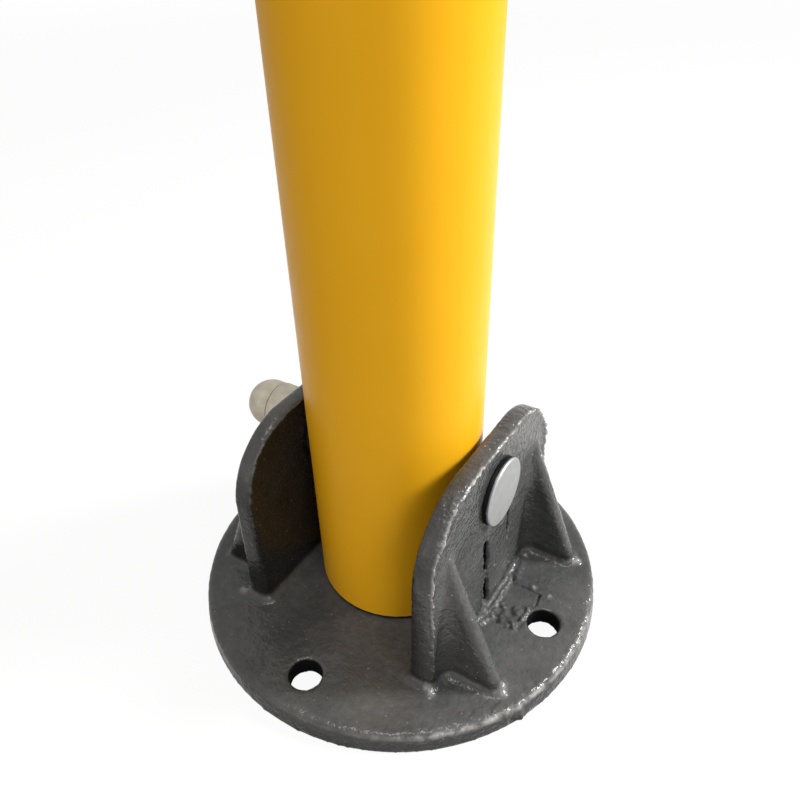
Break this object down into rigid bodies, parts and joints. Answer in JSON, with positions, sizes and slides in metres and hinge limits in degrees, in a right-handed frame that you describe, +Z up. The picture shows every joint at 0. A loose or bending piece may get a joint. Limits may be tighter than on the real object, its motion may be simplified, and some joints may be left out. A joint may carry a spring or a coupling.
{
  "type": "fold-down bollard",
  "caption": "Fold-down bollard: a yellow round steel post hinged on a headed pin between the ribbed ears of a round cast base plate, with a key push-lock in one ear.",
  "frame": {"origin": "centre of the base plate's underside, on the ground", "axes": "+Z up along the post, +X along the hinge pin to its flat head, -Y to the front; the post folds to +Y"},
  "size_m": [0.193, 0.193, 0.9],
  "materials": {
    "black_casting": "semi-gloss black paint over a sand-cast skin",
    "yellow_paint": "satin powder coat",
    "zinc_steel": "zinc plated, dull",
    "end_cap_steel": "dull warm grey",
    "plain_steel": "oiled",
    "black_screw": "blackened",
    "bush_plastic": "satin",
    "lock_chrome": "satin",
    "lock_brass": "satin"
  },
  "bodies": {
    "base": {"base_casting": "black_casting", "hinge_pin": "zinc_steel", "pin_collar": "end_cap_steel", "collar_set_screw": "black_screw", "pin_end_cap": "end_cap_steel", "lock_barrel": "lock_chrome", "barrel_set_screw": "black_screw", "lock_stop_pin": "plain_steel", "lock_spring": "plain_steel"},
    "post": {"post_tube": "yellow_paint", "post_cap": "yellow_paint", "pin_sleeve": "plain_steel", "bush_right": "bush_plastic", "bush_left": "bush_plastic", "lock_keeper": "plain_steel"},
    "plunger": {"lock_plunger": "lock_chrome", "cover_rivet": "lock_brass"},
    "key_core": {"key_cylinder": "lock_brass"},
    "cover": {"keyhole_cover": "lock_chrome"}
  },
  "joints": [
    {"name": "post_fold", "type": "hinge", "parent": "base", "child": "post", "pos_m": [0, 0.0025, 0.077], "axis": [-1, 0, 0], "range_deg": [0, 92.5]},
    {"name": "lock_push", "type": "slide", "parent": "base", "child": "plunger", "axis": [1, 0, 0], "range_m": [0, 0.0095], "stiffness_N_per_m": 300, "springref_m": -0.008, "deforming": ["lock_spring"]},
    {"name": "key_turn", "type": "hinge", "parent": "plunger", "child": "key_core", "pos_m": [-0.0733, 0.0025, 0.047], "axis": [1, 0, 0], "range_deg": [0, 90]},
    {"name": "cover_swing", "type": "hinge", "parent": "plunger", "child": "cover", "pos_m": [-0.081, 0.0025, 0.054], "axis": [1, 0, 0], "range_deg": [-110, 110]}
  ]
}
